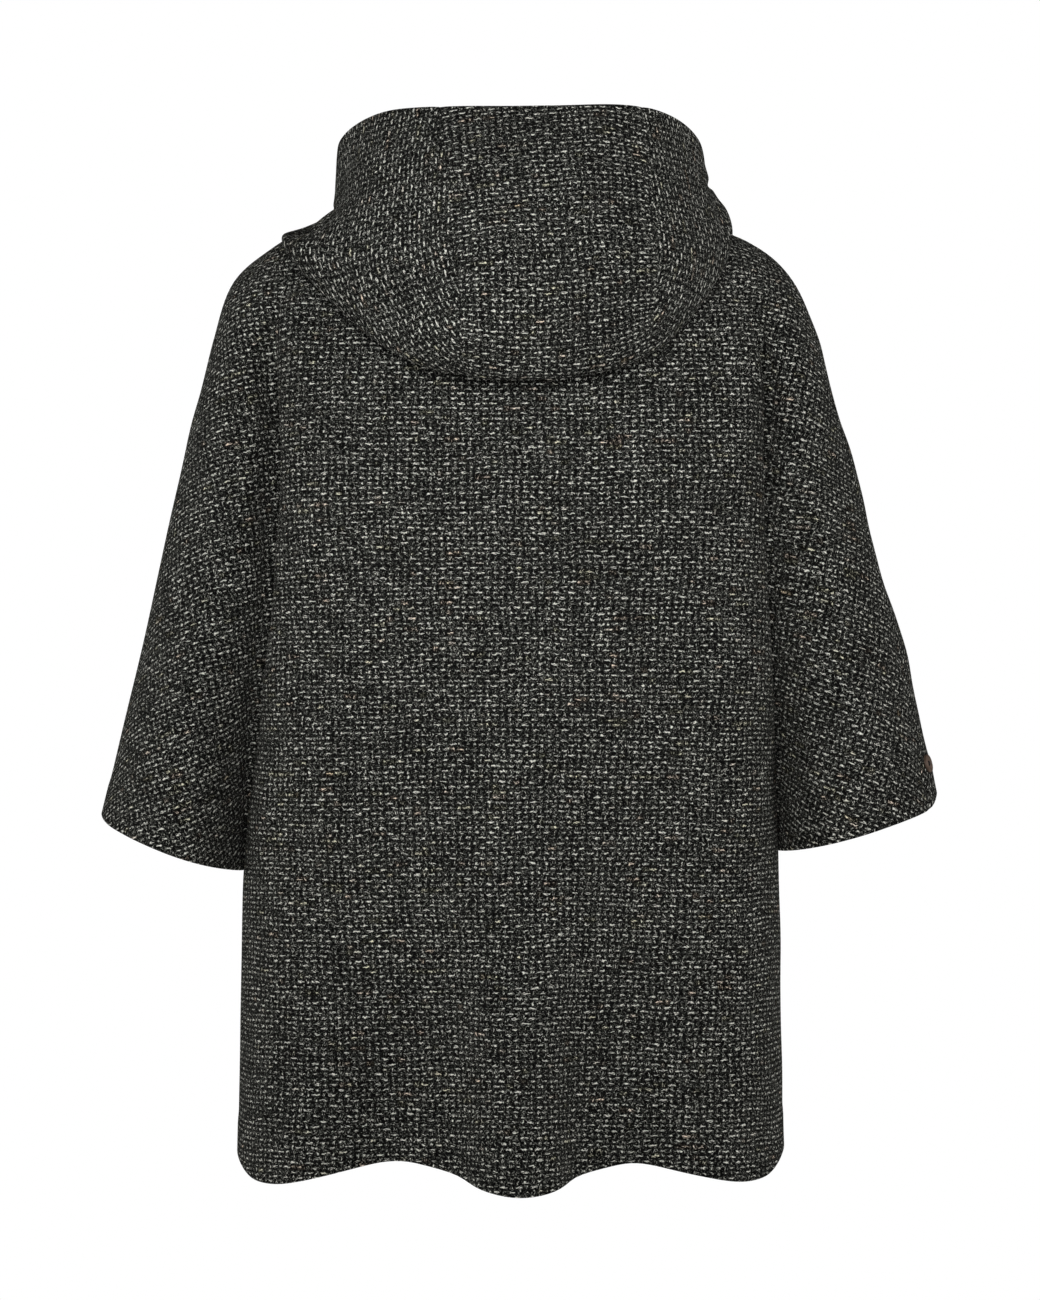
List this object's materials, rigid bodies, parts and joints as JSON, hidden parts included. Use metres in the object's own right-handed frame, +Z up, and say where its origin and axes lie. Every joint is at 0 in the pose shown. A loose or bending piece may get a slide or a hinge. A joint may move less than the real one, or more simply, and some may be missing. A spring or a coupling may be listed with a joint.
{
  "type": "hooded cape",
  "caption": "Charcoal tweed cape with wide sleeves cut in one with the body, edge-to-edge front and a hood that lies on the back as a pouch; worn over the shoulders.",
  "frame": {"origin": "middle of the neck opening at the height of the shoulder seams, where the wearer's shoulders hold the cape", "axes": "+X to the wearer's right, +Y to the wearer's front, +Z up; the back of the cape looks along -Y"},
  "size_m": [0.6913, 0.3835, 0.8629],
  "materials": {
    "tweed": "matte chunky weave",
    "button": "satin brown"
  },
  "bodies": {
    "root": {"back": "tweed", "front_right": "tweed", "front_left": "tweed", "hood_centre": "tweed", "hood_right": "tweed", "hood_left": "tweed", "cuff_button": "button"}
  },
  "joints": []
}
